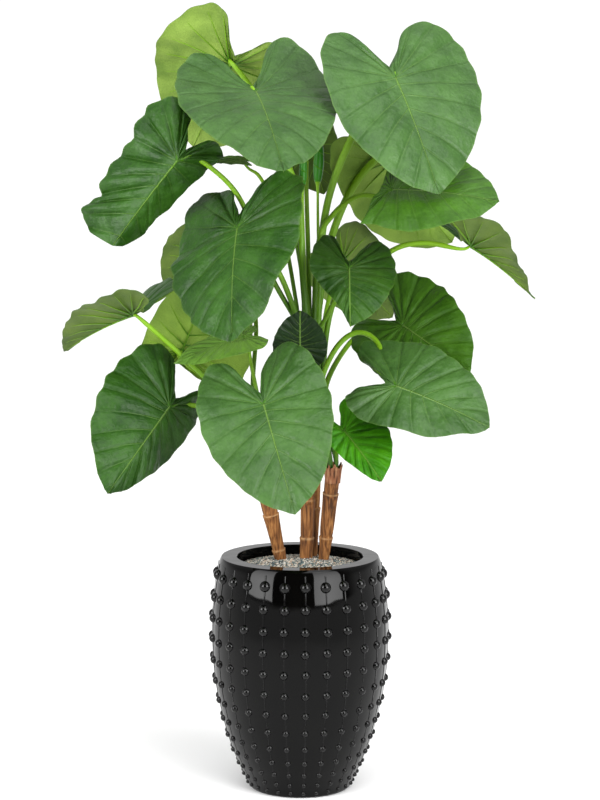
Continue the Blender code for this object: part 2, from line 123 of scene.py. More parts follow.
class Finish:
    """A material: a Principled shader with fixed values, and nodes for what varies over a surface."""

    def __init__(self, name, fixed):
        self.material = bpy.data.materials.new(name)
        self.material.use_nodes = True
        self.tree = self.material.node_tree
        self.shader = self.tree.nodes["Principled BSDF"]
        for socket, value in fixed.items():
            self.shader.inputs[socket].default_value = value

    def node(self, kind, settings, inputs, output=0):
        made = self.tree.nodes.new(kind)
        for key, value in settings.items():
            if key == "stops":
                ramp = made.color_ramp.elements
                while len(ramp) < len(value):
                    ramp.new(0.5)
                for stop, (position, color) in zip(ramp, value):
                    stop.position = position
                    stop.color = color
            else:
                setattr(made, key, value)
        for key, value in inputs.items():
            if isinstance(value, Socket):
                self.tree.links.new(value.link, made.inputs[key])
            else:
                made.inputs[key].default_value = value
        return Socket(self, made.outputs[output])

    def vector(self, operation, a, b):
        return self.node("ShaderNodeVectorMath", {"operation": operation}, {0: a, 1: b})

    def axis(self, vector, letter):
        return self.node("ShaderNodeSeparateXYZ", {}, {0: vector}, letter)

    def uv(self, name):
        return self.node("ShaderNodeUVMap", {"uv_map": name}, {})

    def attribute(self, name):
        return self.node("ShaderNodeAttribute", {"attribute_name": name}, {}, "Fac")

    def place(self, stretch=(1, 1, 1)):
        """The piece's own coordinates, in metres, stretched."""
        here = self.node("ShaderNodeTexCoord", {}, {}, "Object")
        return self.vector("MULTIPLY", here, stretch)

    def noise(self, scale, detail, stretch=(1, 1, 1)):
        inputs = {"Vector": self.place(stretch), "Scale": scale, "Detail": detail}
        return self.node("ShaderNodeTexNoise", {}, inputs, "Fac")

    def blend(self, factor, a, b):
        return self.node("ShaderNodeMix", {"data_type": "RGBA"}, {0: factor, 6: a, 7: b}, 2)

    def ramp(self, value, stops):
        return self.node("ShaderNodeValToRGB", {"stops": stops}, {0: value}, "Color")

    def bump(self, height, distance):
        inputs = {"Height": height, "Distance": distance, "Strength": 1.0}
        return self.node("ShaderNodeBump", {}, inputs, "Normal")

    def wear(self, **sockets):
        for name, value in sockets.items():
            self.tree.links.new(value.link, self.shader.inputs[name.replace("_", " ").title()])
        return self.material


def as_mesh(name, bm):
    """A mesh made of a bmesh, which is then freed."""
    mesh = bpy.data.meshes.new(name)
    bm.to_mesh(mesh)
    bm.free()
    return mesh


def pour(bm, mesh):
    """Move a mesh into a bmesh."""
    bm.from_mesh(mesh)
    bpy.data.meshes.remove(mesh)


def finished(name, bm, finishes, nodes, smooth_below=50):
    """Make a piece of a bmesh, ride it on the plant and let it stand for its CAD nodes."""
    mesh = as_mesh(name, bm)
    for finish in finishes:
        mesh.materials.append(finish)
    mesh.shade_smooth()
    mesh.set_sharp_from_angle(angle=math.radians(smooth_below))
    piece = bpy.data.objects.new(name, mesh)
    bpy.context.scene.collection.objects.link(piece)
    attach(piece, "root")
    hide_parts(*nodes)
    return piece


def spline(points, at):
    """A smooth value between a list's entries, which it passes through at whole numbers."""
    last = len(points) - 1
    at = min(max(at, 0), last)
    i = min(int(at), last - 1)
    f = at - i
    a, b, c, d = points[max(i - 1, 0)], points[i], points[i + 1], points[min(i + 2, last)]
    return 0.5 * (2 * b + (c - a) * f + (2 * a - 5 * b + 4 * c - d) * f ** 2
                  + (3 * b - a - 3 * c + d) * f ** 3)


def add_turned(bm, profile, steps, closed=False):
    """A profile of radius and height, turned round the pot's axis, added to an empty bmesh."""
    verts = [bm.verts.new((r, 0, z)) for r, z in profile]
    after = verts[1:] + verts[:1] if closed else verts[1:]
    edges = [bm.edges.new(pair) for pair in zip(verts, after)]
    bmesh.ops.spin(bm, geom=verts + edges, axis=(0, 0, 1), steps=steps, angle=2 * math.pi,
                   use_merge=True)
    bmesh.ops.remove_doubles(bm, verts=bm.verts, dist=1e-5)
    bmesh.ops.recalc_face_normals(bm, faces=bm.faces)


def add_tube(bm, path, radii, sides, material_index=0):
    """A round bar along a path, with closed ends, added to a bmesh; its UV map runs round and along."""
    bar = bmesh.new()
    uv = bar.loops.layers.uv.new("along")
    last = len(path) - 1
    bmesh.ops.create_grid(bar, x_segments=sides, y_segments=last, size=0.5)
    frames = []
    across = Vector((1, 0, 0))
    for i, point in enumerate(path):
        ahead = (path[min(i + 1, last)] - path[max(i - 1, 0)]).normalized()
        across = (across - ahead * across.dot(ahead)).normalized()
        frames.append((point, across, ahead.cross(across)))
    for face in bar.faces:
        face.material_index = material_index
        face.smooth = True
        for loop in face.loops:
            loop[uv].uv = (loop.vert.co.x + 0.5, loop.vert.co.y + 0.5)
    for v in bar.verts:
        turn = (v.co.x + 0.5) * 2 * math.pi
        i = round((v.co.y + 0.5) * last)
        point, one, two = frames[i]
        v.co = point + (one * math.cos(turn) + two * math.sin(turn)) * radii[i]
    bmesh.ops.remove_doubles(bar, verts=bar.verts, dist=1e-6)
    ends = [e for e in bar.edges if e.is_boundary]
    caps = bmesh.ops.holes_fill(bar, edges=ends, sides=0)["faces"]
    for cap in caps:
        cap.material_index = material_index
    bmesh.ops.recalc_face_normals(bar, faces=bar.faces)
    pour(bm, as_mesh("bar", bar))


def glazed(name, shine, waves):
    """Black glaze, which lies a little unevenly: blacker where it pools thick, greyer where it is thin,
    and its shine varies a little over the pot.
    """
    glaze = Finish(name, {"Specular IOR Level": shine})
    pooled = glaze.noise(9, 2)
    return glaze.wear(
        base_color=glaze.ramp(pooled, [(0.35, GLAZE_BLACK), (0.8, GLAZE_THIN)]),
        roughness=0.02 + 0.05 * glaze.noise(30, 2),
        normal=glaze.bump(glaze.noise(waves, 1), 0.00035))


wall_glaze = glazed("black_glaze", 0.14, 20)
stud_glaze = glazed("stud_glaze", 0.26, 90)
seam_glaze = glazed("seam_glaze", 0.17, 40)

wall_radii = [r for r, z in POT_WALL]
wall_heights = [z for r, z in POT_WALL]
wall = [(spline(wall_radii, i / WALL_CUTS), spline(wall_heights, i / WALL_CUTS))
        for i in range(WALL_CUTS * (len(POT_WALL) - 1) + 1)]
outline = [(0, 0), (POT_FOOT_RADIUS, 0), (0.1165, 0.0012)] + wall
# The lip is rounded outside and in
outline += [(LIP_OUTER_RADIUS + 0.0032, POT_HEIGHT - 0.006),
            (LIP_OUTER_RADIUS + 0.0010, POT_HEIGHT - 0.0015),
            (LIP_OUTER_RADIUS - 0.0005, POT_HEIGHT),
            (MOUTH_RADIUS + 0.001, POT_HEIGHT),
            (MOUTH_RADIUS, POT_HEIGHT - 0.001)]
outline += POT_CAVITY + [(0, POT_CAVITY[-1][1])]
bm = bmesh.new()
add_turned(bm, outline, POT_STEPS)
finished("pot_body", bm, [wall_glaze], ["pot"], smooth_below=40)

# The studs are domes stuck on row by row, never quite in line, and the seams are thin half rounds
random.seed(26)
rows = list(zip(POT_WALL, POT_WALL[1:]))
stud = bmesh.new()
bmesh.ops.create_uvsphere(stud, u_segments=14, v_segments=8, radius=1)
stud_mesh = as_mesh("stud", stud)
column_turn = 2 * math.pi / POT_COLUMNS
bm = bmesh.new()
for column in range(POT_COLUMNS):
    angle = column_turn * column + POT_TURN
    outward = Vector((math.cos(angle), math.sin(angle), 0))
    for n, ((r0, z0), (r1, z1)) in enumerate(rows):
        top = n / (len(rows) - 1)
        half = STUD_HALF_WIDTH[1] + (STUD_HALF_WIDTH[0] - STUD_HALF_WIDTH[1]) * top
        height = STUD_HEIGHT[1] + (STUD_HEIGHT[0] - STUD_HEIGHT[1]) * top
        slope = math.atan2(r0 - r1, z1 - z0)
        shift = random.uniform(-1, 1) * STUD_SHIFT[0] * top
        sideways = random.uniform(-1, 1) * STUD_SHIFT[1] * top
        seat = Matrix.Translation(outward * (r0 + r1) / 2 + Vector((0, 0, (z0 + z1) / 2 + shift)))
        turn = Matrix.Rotation(angle, 4, "Z") @ Matrix.Rotation(-slope, 4, "Y")
        half *= STUD_NARROWING * STUD_SWELL
        height *= STUD_SWELL
        size = Matrix.Diagonal((height * (1 + STUD_SINK), half, half, 1))
        sink = Matrix.Translation((-height * STUD_SINK - 0.0004, sideways, 0))
        before = len(bm.verts)
        bm.from_mesh(stud_mesh)
        bm.verts.ensure_lookup_table()
        bmesh.ops.transform(bm, matrix=seat @ turn @ sink @ size, verts=bm.verts[before:])
    seam = [outward * (r - SEAM_RADIUS * 0.25) + Vector((0, 0, z)) for r, z in wall]
    seam_radii = [SEAM_RADIUS * (0.55 + 0.45 * i / len(wall)) for i in range(len(wall))]
    add_tube(bm, seam, seam_radii, SEAM_SIDES, material_index=1)
bpy.data.meshes.remove(stud_mesh)
finished("pot_studs", bm, [stud_glaze, seam_glaze], ["pot"], smooth_below=60)


# Granules
# Loose pebbles of 3 to 6 mm in blue-grey, grey and beige fill the pot to just under its lip and are
# heaped a little round the trunks. They hide the filler below.
BED_EDGE_HEIGHT = 0.520
BED_CROWN_HEIGHT = 0.535
# The filler ends this far below the bed's surface, and has a foot and a fine bore
FILLER_DROP = 0.003
FILLER_FOOT = 0.45
FILLER_BORE = 0.001
FILLER_RING = 0.0144
FILLER_STEPS = 52
# One sector of stones is made, and turned round the pot
BED_SECTORS = 9
STONE_SPACING = 0.0037
STONE_RADII = (0.0017, 0.0026)
STONE_STRETCH = 1.2
STONE_DROP = 0.0028
STONE_MARGIN = 0.003
STONE_COLORS = [(0.30, (0.010, 0.024, 0.028, 1)), (0.41, (0.060, 0.105, 0.112, 1)),
                (0.50, (0.17, 0.20, 0.19, 1)), (0.58, (0.36, 0.23, 0.14, 1)),
                (0.66, (0.56, 0.53, 0.47, 1))]

pebble = Finish("pebble_mix", {"Roughness": 0.7})
cell = pebble.node("ShaderNodeTexVoronoi", {"feature": "F1"},
                   {"Vector": pebble.place(), "Scale": 260.0}, "Color")
mixed = pebble.node("ShaderNodeSeparateColor", {}, {"Color": cell}, "Red")
pebble.wear(base_color=pebble.ramp(mixed * 0.55 + 0.22, STONE_COLORS),
            normal=pebble.bump(pebble.noise(900, 2), 0.0003))


def bed_height(radius):
    """The fill's surface: level by the wall and a little higher in the middle."""
    return BED_EDGE_HEIGHT + (BED_CROWN_HEIGHT - BED_EDGE_HEIGHT) * (1 - (radius / MOUTH_RADIUS) ** 2)


bm = bmesh.new()
surface = [(FILLER_BORE, BED_CROWN_HEIGHT - FILLER_DROP)]
surface += [(r * FILLER_RING, bed_height(r * FILLER_RING) - FILLER_DROP) for r in range(1, 11)]
surface += [(MOUTH_RADIUS - 0.001, FILLER_FOOT), (FILLER_BORE, FILLER_FOOT)]
add_turned(bm, surface, FILLER_STEPS, closed=True)
random.seed(7)
sector = bmesh.new()
turn_of_sector = 2 * math.pi / BED_SECTORS
rings = int((MOUTH_RADIUS - STONE_MARGIN) / STONE_SPACING)
for ring in range(1, rings + 1):
    radius = ring * STONE_SPACING
    count = max(1, round(radius * turn_of_sector / STONE_SPACING))
    for k in range(count):
        angle = turn_of_sector * (k + random.uniform(0.2, 0.8)) / count
        away = radius + random.uniform(-1, 1) * 0.0008
        height = bed_height(radius) - STONE_DROP + random.uniform(-1, 1) * 0.0009
        size = random.uniform(*STONE_RADII)
        spot = Matrix.Translation((away * math.cos(angle), away * math.sin(angle), height))
        tumble = Matrix.Rotation(random.uniform(0, 6), 4, "X")
        tumble = tumble @ Matrix.Rotation(random.uniform(0, 6), 4, "Z")
        squash = Matrix.Diagonal((size * STONE_STRETCH, size, size * random.uniform(0.7, 1), 1))
        bmesh.ops.create_icosphere(sector, subdivisions=1, radius=1, matrix=spot @ tumble @ squash)
bmesh.ops.spin(sector, geom=sector.verts[:] + sector.edges[:] + sector.faces[:], axis=(0, 0, 1),
               steps=BED_SECTORS - 1, angle=2 * math.pi - turn_of_sector, use_duplicate=True)
pour(bm, as_mesh("stones", sector))
finished("granule_fill", bm, [pebble.material], ["granules"], smooth_below=30)


# Trunks
# Four canes of matted brown fibre. Each old leaf left a ring round the cane with a thin pale lip, and
# a tapering sleeve of dried sheath below it. They stand in holes in the fill.
# Each trunk: its foot, a point half way and its crown, the radii at those three, and the radii of
# the ring that its stalks stand on and of its collar
TRUNKS = {
    1: dict(foot=(-0.042, 0.020), middle=(-0.070, 0.005, 0.650), crown=(-0.100, -0.020, 0.795),
            radii=(0.0120, 0.0180, 0.0175), ring=0.0125, mouth=0.0190),
    2: dict(foot=(0.014, 0.030), middle=(0.018, 0.020, 0.720), crown=(0.014, 0.010, 1.020),
            radii=(0.0145, 0.0165, 0.0170), ring=0.0174, mouth=0.0248),
    3: dict(foot=(0.026, 0.075), middle=(0.032, 0.072, 0.650), crown=(0.036, 0.070, 0.880),
            radii=(0.0140, 0.0150, 0.0160), ring=0.0138, mouth=0.0215),
    4: dict(foot=(0.054, 0.020), middle=(0.066, 0.005, 0.640), crown=(0.076, -0.010, 0.745),
            radii=(0.0110, 0.0160, 0.0165), ring=0.0100, mouth=0.0165),
}
# Heights of the rings that leaves left, from the fill up
NODE_RINGS = {
    1: [0.555, 0.640, 0.722],
    2: [0.582, 0.673, 0.768, 0.860, 0.945],
    3: [0.644, 0.730, 0.815],
    4: [0.585, 0.690],
}
# How far a ring swells the cane below it and draws it in above it, over what length each fades, and
# how far down its pale lip lies and reaches
RING_SWELL = 0.0020
RING_SWELL_FADE = 0.012
RING_WAIST = 0.0009
RING_WAIST_FADE = 0.010
RING_LIP_DROP = 0.0012
RING_LIP_REACH = 0.0022
TRUNK_SIDES = 30
TRUNK_POINTS = 150
PATH_CUTS = 200
BARK_DARK = (0.045, 0.017, 0.006, 1)
BARK_BROWN = (0.150, 0.056, 0.014, 1)
BARK_TAN = (0.290, 0.130, 0.038, 1)
RING_PALE = (0.36, 0.21, 0.095, 1)


def smooth_path(points, count):
    """The given number of points, evenly spread along a smooth curve through the points."""
    points = [Vector(p) for p in points]
    fine = [spline(points, i * (len(points) - 1) / PATH_CUTS) for i in range(PATH_CUTS + 1)]
    lengths = [0]
    for a, b in zip(fine, fine[1:]):
        lengths.append(lengths[-1] + (b - a).length)
    path = []
    for k in range(count):
        want = lengths[-1] * k / (count - 1)
        i = next(i for i, reached in enumerate(lengths) if reached >= want - 1e-9)
        path.append(fine[i])
    return path


bark = Finish("fibrous_bark", {"Specular IOR Level": 0.25})
streaks = bark.noise(16, 6, stretch=(14, 14, 0.9))
patches = bark.noise(22, 3, stretch=(1, 1, 0.5))
fibre = bark.ramp(streaks * 0.6 + patches * 0.4,
                  [(0.38, BARK_DARK), (0.49, BARK_BROWN), (0.62, BARK_TAN)])
lip = bark.attribute("ring")
bark.wear(
    base_color=bark.blend(lip, fibre, RING_PALE),
    roughness=0.9 - 0.25 * streaks,
    normal=bark.bump(streaks, 0.0022))

for number, trunk in TRUNKS.items():
    foot = Vector((*trunk["foot"], BED_EDGE_HEIGHT))
    middle = Vector(trunk["middle"])
    crown = Vector(trunk["crown"])
    buried = foot - (middle - foot).normalized() * 0.02
    path = smooth_path([buried, foot, middle, crown], TRUNK_POINTS)
    low, mid, high = trunk["radii"]
    radii = []
    lips = []
    for i, point in enumerate(path):
        radius = spline([low, mid, high], 2 * i / (TRUNK_POINTS - 1))
        below = min([ring - point.z for ring in NODE_RINGS[number] if ring >= point.z], default=1)
        above = min([point.z - ring for ring in NODE_RINGS[number] if ring < point.z], default=1)
        swell = RING_SWELL * math.exp(-below / RING_SWELL_FADE)
        waist = RING_WAIST * math.exp(-above / RING_WAIST_FADE)
        radii.append(radius + swell - waist)
        lips.append(max(0, 1 - abs(below - RING_LIP_DROP) / RING_LIP_REACH))
    bm = bmesh.new()
    add_tube(bm, path, radii, TRUNK_SIDES)
    ring_mask = bm.verts.layers.float.new("ring")
    for v in bm.verts:
        i = min(range(TRUNK_POINTS), key=lambda k: (path[k] - v.co).length_squared)
        out = v.co - path[i]
        angle = math.atan2(out.y, out.x)
        cosine = math.cos(angle)
        sine = math.sin(angle)
        ridge = noise.noise(Vector((3.2 * cosine, 3.2 * sine, 6 * v.co.z + 9 * number)))
        fine = noise.noise(Vector((9 * cosine, 9 * sine, 14 * v.co.z + 5 * number)))
        v.co += out * (0.09 * ridge + 0.05 * fine)
        v[ring_mask] = lips[i] * (0.35 + 0.65 * abs(math.sin(3 * angle + number)))
    finished(f"cane_{number}", bm, [bark.material], [f"trunk_{number}"],
             smooth_below=70)


# Sheaths
# The dry collar of old leaf bases that wraps each crown and has torn into points. Papery, reddish
# brown, grown on the cane.
SHEATH_RED = (0.185, 0.065, 0.026, 1)
SHEATH_TAN = (0.31, 0.165, 0.080, 1)
SHEATH_POINTS = 9
SHEATH_DEPTH = 0.030
SHEATH_THICKNESS = 0.0011

papery = Finish("dry_sheath", {"Specular IOR Level": 0.3})
grain = papery.noise(18, 5, stretch=(12, 12, 1))
papery.wear(
    base_color=papery.ramp(grain, [(0.33, BARK_DARK), (0.47, SHEATH_RED), (0.68, SHEATH_TAN)]),
    roughness=0.9 - 0.2 * grain,
    normal=papery.bump(grain, 0.0015))

for number, trunk in TRUNKS.items():
    crown = Vector(trunk["crown"])
    bm = bmesh.new()
    bmesh.ops.create_grid(bm, x_segments=8 * SHEATH_POINTS, y_segments=7, size=0.5)
    for v in bm.verts:
        angle = (v.co.x + 0.5) * 2 * math.pi
        up = v.co.y + 0.5
        here = Vector((1.6 * math.cos(angle), 1.6 * math.sin(angle), 3.1 * number))
        tear = abs((SHEATH_POINTS * (v.co.x + 0.5) + 0.6 * noise.noise(here)) % 1 - 0.5) * 2
        top = 0.006 + 0.016 * tear ** 1.5 * (0.75 + 0.5 * noise.noise(here * 2.2))
        height = -SHEATH_DEPTH + (SHEATH_DEPTH + top) * up
        radius = trunk["mouth"] + 0.0030 + 0.0012 * noise.noise(here * 3) + 0.22 * max(height, 0)
        radius -= 0.0035 * max(-height, 0) / SHEATH_DEPTH
        v.co = crown + Vector((radius * math.cos(angle), radius * math.sin(angle), height))
    bmesh.ops.remove_doubles(bm, verts=bm.verts, dist=1e-5)
    bmesh.ops.recalc_face_normals(bm, faces=bm.faces)
    collar = finished(f"collar_{number}", bm, [papery.material],
                      [f"sheath_{number}"], smooth_below=60)
    shell = collar.modifiers.new("thickness", "SOLIDIFY")
    shell.thickness = SHEATH_THICKNESS
    shell.offset = -1


# Leaves
# Heart-shaped blades of thin printed cloth, pressed along their veins so that the blade puffs up
# between them. Each is fixed by its joint on a moulded stalk, whose ribs run on under the blade.
# Half of a flat blade, from the bottom of the notch round a lobe to the tip, in lengths from the
# stalk's joint to the tip: across, and along towards the tip
HALF_OUTLINE = [(0, -0.12), (0.11, -0.30), (0.21, -0.505), (0.36, -0.545), (0.50, -0.38),
                (0.565, -0.14), (0.575, 0.10), (0.535, 0.32), (0.455, 0.53), (0.35, 0.70),
                (0.235, 0.83), (0.105, 0.93), (0, 1.0)]
BLADE_ROWS = 12
NOTCH = -0.12
# Where the vein to each of those points leaves the midrib
VEIN_ROOTS = [0, 0, 0, 0, 0, 0, 0.03, 0.11, 0.22, 0.36, 0.52, 0.73, 1.0]
# Each leaf: where its stalk joins the blade, its tip, the way its upper face looks, how it is bent,
# the trunk and place round the crown that its stalk stands on, and the points its stalk passes
LEAVES = {
    1: dict(joint=(-0.165, 0.290, 1.678), tip=(-0.265, 0.465, 1.480), faces=(0.23, 0.77, 0.60),
            droop=15, nod=-10, width=1.12, open=0.85, lobes_r=0.78,
            trunk=2, slot=100, stalk=0.0070,
            via=[(0.005, 0.080, 1.200), (-0.045, 0.150, 1.440), (-0.105, 0.250, 1.600)]),
    2: dict(joint=(-0.100, 0.000, 1.610), tip=(-0.035, -0.265, 1.430), faces=(0.04, -0.49, 0.87),
            droop=25, nod=-50, width=0.96, lobes_l=1.2,
            trunk=2, slot=280, stalk=0.0068, via=[(0.005, -0.010, 1.205), (-0.010, 0.000, 1.395)]),
    3: dict(joint=(0.215, -0.020, 1.640), tip=(0.305, -0.180, 1.380), faces=(0.23, -0.78, 0.58),
            droop=15, shear=0.15, lobes_l=0.76, width_l=1.1, width_r=0.93,
            trunk=3, slot=288, stalk=0.0065, stalk_top=0.0082,
            via=[(0.054, 0.050, 1.305), (0.125, 0.040, 1.520)]),
    4: dict(joint=(-0.275, -0.060, 1.455), tip=(-0.427, 0.000, 1.260), faces=(-0.20, -0.97, 0.05),
            droop=15, nod=70, fold_l=-50, fold_r=-15, width_l=0.55, width_r=0.85, pinch_r=-0.4,
            open=1.5, gape_l=0.6, lobes_l=0.5, lobes_r=1.05, shear=0.3, blunt_l=0.10, blunt_r=0.28,
            wave=0.042, waves=5,
            trunk=2, slot=190, stalk=0.0055,
            via=[(-0.010, 0.000, 1.090), (-0.070, -0.010, 1.200), (-0.145, 0.000, 1.380)]),
    5: dict(joint=(-0.140, -0.100, 1.305), tip=(-0.145, -0.300, 1.065), faces=(-0.58, -0.60, 0.55),
            droop=15, lobes_l=0.65, width=1.03, wave=0.03, waves=4, gape_l=0.5, gape_r=0.5,
            trunk=2, slot=235, stalk=0.0058,
            via=[(-0.005, -0.010, 1.090), (-0.045, -0.030, 1.195), (-0.095, -0.040, 1.265)]),
    6: dict(joint=(-0.380, -0.020, 1.105), tip=(-0.560, 0.180, 1.000), faces=(-0.37, 0.19, 0.91),
            droop=10, fold_l=25, fold_r=25, width=0.85, shear=0.2, pinch_l=0.3, lobes=0.7,
            trunk=1, slot=195, stalk=0.0055, via=[(-0.140, -0.020, 0.875), (-0.230, -0.030, 0.975)]),
    7: dict(joint=(-0.275, 0.080, 1.010), tip=(-0.185, 0.200, 1.240), faces=(-0.12, 0.90, -0.42),
            droop=15, width_r=0.6, lobes_l=0.2, lobes_r=0.25,
            trunk=1, slot=135, stalk=0.0050, via=[(-0.150, 0.030, 0.905), (-0.235, 0.055, 0.960)]),
    8: dict(joint=(-0.205, 0.270, 1.225), tip=(-0.310, 0.390, 1.100), faces=(0.24, 0.67, 0.70),
            droop=15,
            trunk=1, slot=75, stalk=0.0050, via=[(-0.110, 0.090, 0.930), (-0.110, 0.220, 1.100)]),
    9: dict(joint=(-0.130, -0.050, 1.055), tip=(-0.285, -0.090, 1.000), faces=(-0.22, -0.33, 0.92),
            droop=10, lobes=0.35, width=0.8, wave=0.01, columns=4,
            trunk=1, slot=15, stalk=0.0042, via=[(-0.095, -0.040, 0.910), (-0.115, -0.050, 1.020)]),
    10: dict(joint=(-0.295, -0.080, 0.900), tip=(-0.425, -0.245, 0.725), faces=(0.29, -0.81, 0.51),
             droop=15, fold_l=-35, width_l=0.55, lobes_l=0.6, lobes_r=0.88, wave=0.03, waves=4,
             trunk=1, slot=255, stalk=0.0055, via=[(-0.120, -0.048, 0.860), (-0.225, -0.018, 0.892)]),
    11: dict(joint=(-0.080, -0.240, 0.925), tip=(-0.010, -0.425, 0.710), faces=(-0.15, -0.78, 0.61),
             droop=15, width=0.88, gape_l=0.4,
             trunk=1, slot=315, stalk=0.0055, via=[(-0.060, -0.090, 0.870), (-0.045, -0.180, 0.925)]),
    12: dict(joint=(0.110, -0.100, 1.215), tip=(0.110, -0.240, 1.095), faces=(-0.02, -0.64, 0.77),
             droop=15, width_r=0.85, lobes_r=1.45, pinch_r=0.85, columns=4,
             trunk=2, slot=325, stalk=0.0048, via=[(0.055, -0.020, 1.090), (0.095, -0.050, 1.175)]),
    13: dict(joint=(0.240, 0.100, 1.070), tip=(0.390, -0.030, 0.970), faces=(-0.49, -0.73, 0.47),
             droop=15, wave=0.03,
             trunk=4, slot=55, stalk=0.0058,
             via=[(0.058, 0.020, 0.855), (0.060, 0.032, 0.935), (0.100, 0.130, 1.003),
                  (0.150, 0.190, 1.045)]),
    14: dict(joint=(0.215, -0.150, 0.955), tip=(0.415, -0.260, 0.875), faces=(-0.08, -0.69, 0.72),
             droop=15, width_r=0.82, lobes_l=1.12, lobes_r=0.6, wave=0.025, waves=4,
             trunk=4, slot=145, stalk=0.0058,
             via=[(0.046, 0.000, 0.855), (0.049, 0.005, 0.950), (0.087, 0.005, 1.031),
                  (0.135, 0.000, 1.062), (0.180, -0.030, 1.035)]),
    15: dict(joint=(0.100, -0.120, 0.850), tip=(0.180, -0.220, 0.750), faces=(-0.01, -0.71, 0.70),
             droop=15, width_r=0.5, columns=4,
             trunk=4, slot=325, stalk=0.0042, via=[(0.085, -0.034, 0.800), (0.090, -0.070, 0.840)]),
    16: dict(joint=(0.210, 0.150, 1.450), tip=(0.365, 0.250, 1.255), faces=(-0.53, 0.85, 0.04),
             droop=15,
             trunk=3, slot=144, stalk=0.0065, stalk_top=0.0086,
             via=[(0.056, 0.088, 1.200), (0.105, 0.080, 1.360), (0.170, 0.105, 1.450)]),
    17: dict(joint=(0.205, -0.080, 1.390), tip=(0.440, -0.160, 1.365), faces=(-0.11, -0.53, 0.84),
             droop=15, pinch_l=-0.4, pinch_r=-0.4, lobes=0.05, width=0.95,
             trunk=2, slot=10, stalk=0.0058,
             via=[(0.042, 0.034, 1.260), (0.076, 0.028, 1.330), (0.130, 0.000, 1.372)]),
    18: dict(joint=(0.390, 0.020, 1.260), tip=(0.555, 0.180, 1.125), faces=(0.57, 0.20, 0.80),
             droop=10, fold_l=25, fold_r=25, width=0.85, shear=-0.25, pinch_l=0.5, pinch_r=0.85,
             trunk=3, slot=0, stalk=0.0060,
             via=[(0.080, 0.065, 1.130), (0.200, 0.040, 1.240), (0.280, 0.030, 1.265)]),
    19: dict(joint=(-0.135, 0.120, 1.455), tip=(-0.220, 0.205, 1.455), faces=(-0.13, 0.03, 0.99),
             droop=15, columns=4,
             trunk=2, slot=145, stalk=0.0044,
             via=[(-0.010, 0.050, 1.135), (-0.045, 0.070, 1.315), (-0.090, 0.095, 1.410)]),
    20: dict(joint=(0.020, 0.250, 1.495), tip=(0.058, 0.300, 1.368), faces=(-0.26, 0.84, 0.48),
             droop=15, width=0.85, columns=4,
             trunk=3, slot=216, stalk=0.0052, via=[(0.020, 0.090, 1.200), (0.015, 0.210, 1.405)]),
    21: dict(joint=(0.000, -0.050, 1.030), tip=(0.000, -0.090, 1.120), faces=(0.01, -0.92, -0.40),
             droop=15, width=1.1, columns=4,
             trunk=4, slot=235, stalk=0.0042, via=[(0.054, -0.028, 0.850), (0.047, -0.032, 0.930)]),
    22: dict(joint=(0.100, 0.220, 1.215), tip=(0.225, 0.310, 1.070), faces=(-0.35, 0.89, 0.28),
             droop=15, width=0.8, lobes=0.6, columns=4,
             trunk=3, slot=72, stalk=0.0048, via=[(0.058, 0.125, 1.080), (0.080, 0.190, 1.170)]),
}
BLADE_THICKNESS = 0.0009
ROW_STEPS = 6
COLUMN_STEPS = 36
LEAF_SMOOTH_BELOW = 55
# A stalk: how it narrows to its blade and swells between, its last bend below the joint, where it ends
# under the blade, backwards and down, and the points and share of its taper there
STALK_TAPER = 0.92
STALK_SWELL = 0.13
STALK_BEND = 0.022
STALK_BACK = 0.001
STALK_DOWN = 0.0042
STALK_SIDES = 12
STALK_POINTS = 64
STALK_END_POINTS = 7
STALK_END_TAPER = 0.45
# How far the blade dents at each vein, puffs between them and curls at its margin, in blade lengths
DENT = 0.022
PUFF = 0.0105
CURL = 0.022
# Leaves that dent or puff more or less than most
SCALLOPED = {4: 0.055, 5: 0.045, 10: 0.040, 12: 0.030, 13: 0.035, 18: 0.035, 6: 0.035}
CRUMPLED = {4: 0.030, 5: 0.019, 10: 0.023, 11: 0.012, 12: 0.014, 13: 0.017, 14: 0.013, 15: 0.016}
# The veins that show, as rows of the blade, and how thick each starts out under it
RIBS = {1.5: 0.0014, 2.5: 0.0029, 3.5: 0.0018, 4.5: 0.0020, 5.5: 0.0023, 6.5: 0.0021, 7.5: 0.0020,
        8.5: 0.0017, 9.5: 0.0014, 10.5: 0.0010}
RIB_SIDES = 6
RIB_STEPS = 12
RIB_REACH = 0.86
MIDRIB_RADIUS = 0.0032
MIDRIB_TAPER = 0.85
MIDRIB_SIDES = 8
MIDRIB_STEPS = 24
# A rib's top lies about this far below the middle of the blade
RIB_DROP = 0.0004
VEIN_YELLOW = (0.110, 0.205, 0.032, 1)
# Stalk colours: a darker green that paints the shade low on the stalks, and the stalks' own bright
# yellow-green
STALK_SHADED = (0.024, 0.092, 0.002, 1)
STALK_HIGH = (0.135, 0.275, 0.007, 1)
